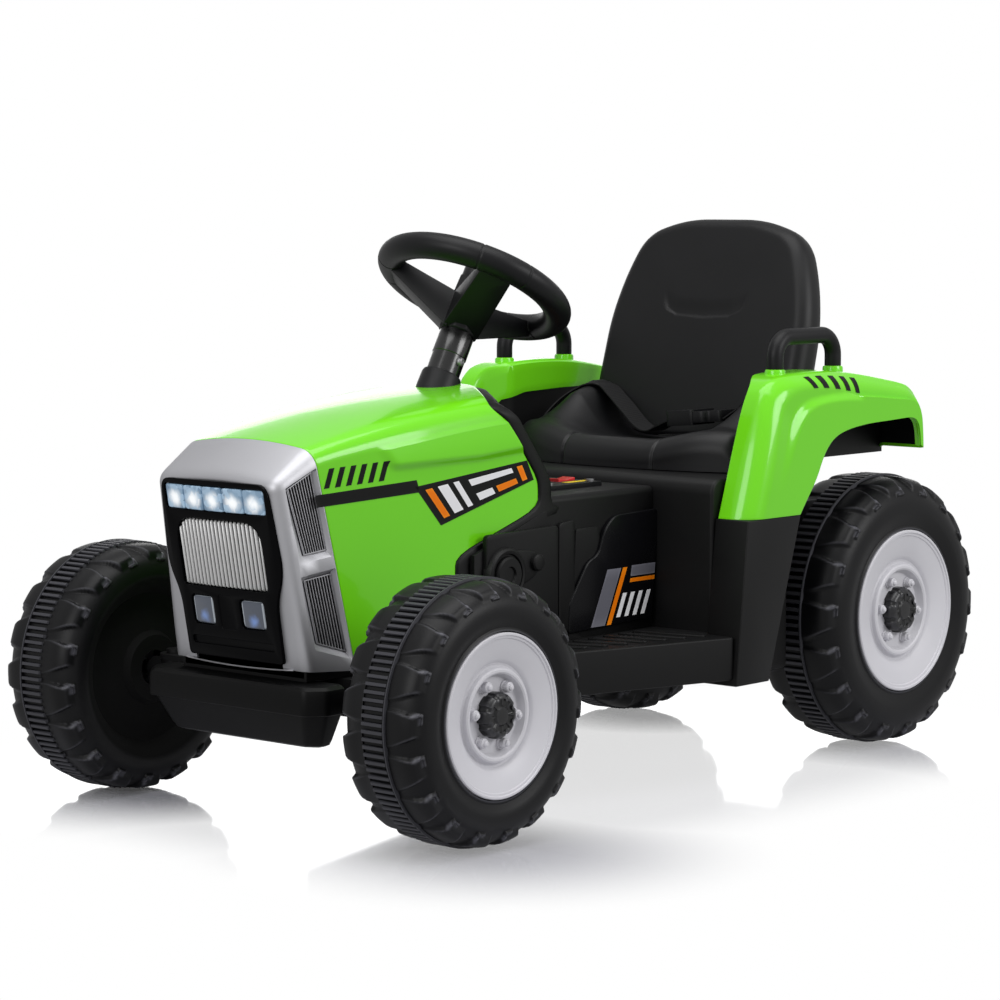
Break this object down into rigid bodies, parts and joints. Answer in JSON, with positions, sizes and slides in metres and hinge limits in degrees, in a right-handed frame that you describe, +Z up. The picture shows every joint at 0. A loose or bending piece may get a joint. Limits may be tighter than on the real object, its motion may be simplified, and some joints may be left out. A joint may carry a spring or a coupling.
{
  "type": "ride-on tractor toy",
  "caption": "Battery ride-on tractor toy for a small child, with steered front wheels, lugged tyres, dished seat with lap belt, pedal and handrails.",
  "frame": {"origin": "on the ground under the middle of the part", "axes": "+Z up, the front faces -Y, the driver's left is +X"},
  "size_m": [0.51, 0.9162, 0.513],
  "materials": {
    "green_gloss": "gloss moulded green",
    "silver_satin": "satin silver lacquer",
    "black_gloss": "gloss black",
    "black_satin": "satin black",
    "tyre_black": "satin moulded black",
    "rim_white": "satin off-white",
    "lamp_lens": "clear bluish lens",
    "switch_red": "gloss red",
    "webbing": "woven black",
    "steel": "zinc plated",
    "black_steel": "black moulding",
    "case_grey": "matt dark grey",
    "motor_can": "drawn can"
  },
  "bodies": {
    "chassis": {"nose_frame": "black_satin", "underpan": "black_satin", "tunnel_cover": "black_satin", "engine_covers": "black_satin", "console_panel": "black_gloss", "footboard_left": "black_satin", "footboard_right": "black_satin", "front_bumper": "black_satin", "fascia": "silver_satin", "mask": "black_gloss", "radiator_grille": "silver_satin", "side_vents": "black_satin", "light_bar_lenses": "lamp_lens", "lower_lamps": "lamp_lens", "hood": "green_gloss", "cowl_trim": "black_satin", "column_collar": "black_satin", "seat_box": "black_satin", "fender_legs": "black_satin", "fender_left": "green_gloss", "fender_right": "green_gloss", "handrails": "black_satin", "seat_pan": "black_satin", "seat_back": "black_satin", "belt_straps": "webbing", "belt_buckle": "black_satin", "front_axle_beam": "black_steel", "kingpins": "steel", "rear_axle": "steel", "gearboxes": "case_grey", "drive_motors": "motor_can", "battery": "case_grey", "control_box": "case_grey", "charge_socket": "case_grey", "body_screws": "steel", "pedal_base": "black_satin"},
    "steering": {"steering_wheel": "black_satin", "wheel_pad": "black_satin", "column_sleeve": "black_satin", "clamp_bolt": "steel", "steering_rod": "steel"},
    "tie_rod": {"tie_rod": "steel"},
    "knuckle_left": {"knuckle_left": "steel"},
    "knuckle_right": {"knuckle_right": "steel"},
    "horn_button": {"horn_button": "black_satin"},
    "power_rocker": {"power_rocker": "switch_red"},
    "direction_knob": {"direction_knob": "black_satin"},
    "foot_pedal": {"foot_pedal": "black_satin"},
    "wheel_front_left": {"tyre_front_left": "tyre_black", "rim_front_left": "rim_white", "hub_cap_front_left": "black_satin"},
    "wheel_front_right": {"tyre_front_right": "tyre_black", "rim_front_right": "rim_white", "hub_cap_front_right": "black_satin"},
    "wheel_rear_left": {"tyre_rear_left": "tyre_black", "rim_rear_left": "rim_white", "hub_cap_rear_left": "black_satin"},
    "wheel_rear_right": {"tyre_rear_right": "tyre_black", "rim_rear_right": "rim_white", "hub_cap_rear_right": "black_satin"}
  },
  "joints": [
    {"name": "steering_turn", "type": "hinge", "parent": "chassis", "child": "steering", "pos_m": [0, -0.09351, 0.4597], "axis": [0, 0.4879, 0.8729], "range_deg": [-45, 45]},
    {"name": "tie_rod_slide", "type": "slide", "parent": "chassis", "child": "tie_rod", "axis": [1, 0, 0], "range_m": [-0.0207, 0.0207]},
    {"name": "knuckle_left_turn", "type": "hinge", "parent": "chassis", "child": "knuckle_left", "pos_m": [0.14, -0.343, 0.115], "axis": [0, 0, 1], "range_deg": [-20.1, 20.1]},
    {"name": "knuckle_right_turn", "type": "hinge", "parent": "chassis", "child": "knuckle_right", "pos_m": [-0.14, -0.343, 0.115], "axis": [0, 0, 1], "range_deg": [-20.1, 20.1]},
    {"name": "wheel_front_left_spin", "type": "hinge", "parent": "knuckle_left", "child": "wheel_front_left", "pos_m": [0.21, -0.343, 0.115], "axis": [1, 0, 0], "continuous": true},
    {"name": "wheel_front_right_spin", "type": "hinge", "parent": "knuckle_right", "child": "wheel_front_right", "pos_m": [-0.21, -0.343, 0.115], "axis": [1, 0, 0], "continuous": true},
    {"name": "wheel_rear_left_spin", "type": "hinge", "parent": "chassis", "child": "wheel_rear_left", "pos_m": [0.156, 0.323, 0.135], "axis": [1, 0, 0], "continuous": true},
    {"name": "wheel_rear_right_spin", "type": "hinge", "parent": "chassis", "child": "wheel_rear_right", "pos_m": [-0.156, 0.323, 0.135], "axis": [1, 0, 0], "continuous": true},
    {"name": "horn_press", "type": "slide", "parent": "steering", "child": "horn_button", "axis": [0, -0.4879, -0.8729], "range_m": [0, 0.0025], "stiffness_N_per_m": 400, "springref_m": -0.0015},
    {"name": "rocker_tip", "type": "hinge", "parent": "chassis", "child": "power_rocker", "pos_m": [0.026, 0.001, 0.275], "axis": [1, 0, 0], "range_deg": [-7, 7]},
    {"name": "knob_turn", "type": "hinge", "parent": "chassis", "child": "direction_knob", "pos_m": [-0.03, 0.001, 0.275], "axis": [0, 0, 1], "range_deg": [-30, 30]},
    {"name": "pedal_press", "type": "hinge", "parent": "chassis", "child": "foot_pedal", "pos_m": [-0.13, -0.087, 0.149], "axis": [1, 0, 0], "range_deg": [0, 10], "stiffness_Nm_per_rad": 0.6, "springref_deg": -11.46}
  ],
  "couplings": [
    {"joint": "tie_rod_slide", "follows": "steering_turn", "m_per_rad": -0.026128},
    {"joint": "knuckle_left_turn", "follows": "steering_turn", "ratio": 0.44444},
    {"joint": "knuckle_right_turn", "follows": "steering_turn", "ratio": 0.44444}
  ]
}
